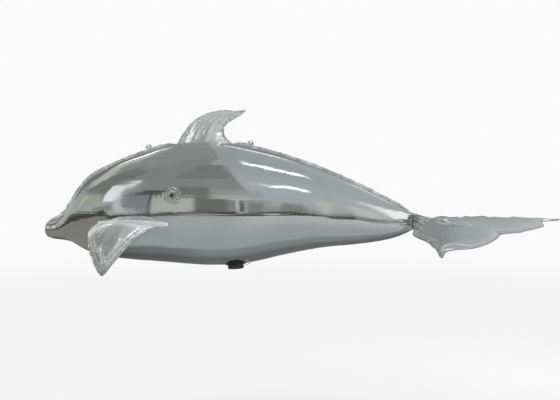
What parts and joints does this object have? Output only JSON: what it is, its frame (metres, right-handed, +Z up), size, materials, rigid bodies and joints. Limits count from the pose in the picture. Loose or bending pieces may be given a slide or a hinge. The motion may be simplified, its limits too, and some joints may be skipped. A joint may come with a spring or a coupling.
{
  "type": "inflatable dolphin balloon",
  "caption": "Hanging advertising balloon shaped as a dolphin: a mirror-film envelope with swinging fins and fluke, a belly cap valve, a flank plug valve and hanging tabs on the back.",
  "frame": {"origin": "the point in the air that the balloon is held at, on its middle plane and long axis at the fullest station", "axes": "+X from the head towards the tail, +Y towards its right flank, +Z up"},
  "size_m": [2.6121, 1.2299, 0.7897],
  "materials": {
    "mirror_film": "mirror-coated vinyl film with soft creases at the welds",
    "clear_vinyl": "clear soft vinyl",
    "black_vinyl": "satin black vinyl",
    "black_rubber": "matt black rubber"
  },
  "bodies": {
    "envelope": {"left_side_panel": "mirror_film", "right_side_panel": "mirror_film", "dorsal_fin_left_film": "mirror_film", "dorsal_fin_right_film": "mirror_film", "left_fin_root_strip": "mirror_film", "right_fin_root_strip": "mirror_film", "front_hanging_tab": "clear_vinyl", "rear_hanging_tab": "clear_vinyl", "belly_valve_base": "black_vinyl", "belly_valve_insert": "black_vinyl", "belly_valve_flap": "black_rubber", "belly_valve_strap": "clear_vinyl", "flank_valve_patch": "clear_vinyl", "flank_valve_stem": "clear_vinyl", "flank_valve_plug": "clear_vinyl"},
    "left_pectoral_fin": {"left_pectoral_outer_film": "mirror_film", "left_pectoral_inner_film": "mirror_film"},
    "right_pectoral_fin": {"right_pectoral_outer_film": "mirror_film", "right_pectoral_inner_film": "mirror_film"},
    "tail_fluke": {"tail_neck": "mirror_film", "tail_fluke_upper_film": "mirror_film", "tail_fluke_lower_film": "mirror_film"},
    "valve_cap": {"belly_valve_cap": "black_vinyl"}
  },
  "joints": [
    {"name": "left_fin_flap", "type": "hinge", "parent": "envelope", "child": "left_pectoral_fin", "pos_m": [-0.4905, -0.24624, -0.083], "axis": [-0.9806, 0.1959, 0], "range_deg": [-20, 40]},
    {"name": "right_fin_flap", "type": "hinge", "parent": "envelope", "child": "right_pectoral_fin", "pos_m": [-0.4905, 0.24624, -0.083], "axis": [0.9806, 0.1959, 0], "range_deg": [-20, 40]},
    {"name": "tail_swing", "type": "hinge", "parent": "envelope", "child": "tail_fluke", "pos_m": [0.866, 0, -0.0935], "axis": [0, 0, 1], "range_deg": [-6, 84]},
    {"name": "valve_cap_hinge", "type": "hinge", "parent": "envelope", "child": "valve_cap", "pos_m": [0.03157, -0.07663, -0.30181], "axis": [0, -0.9625, 0.2711], "range_deg": [0, 120]}
  ]
}
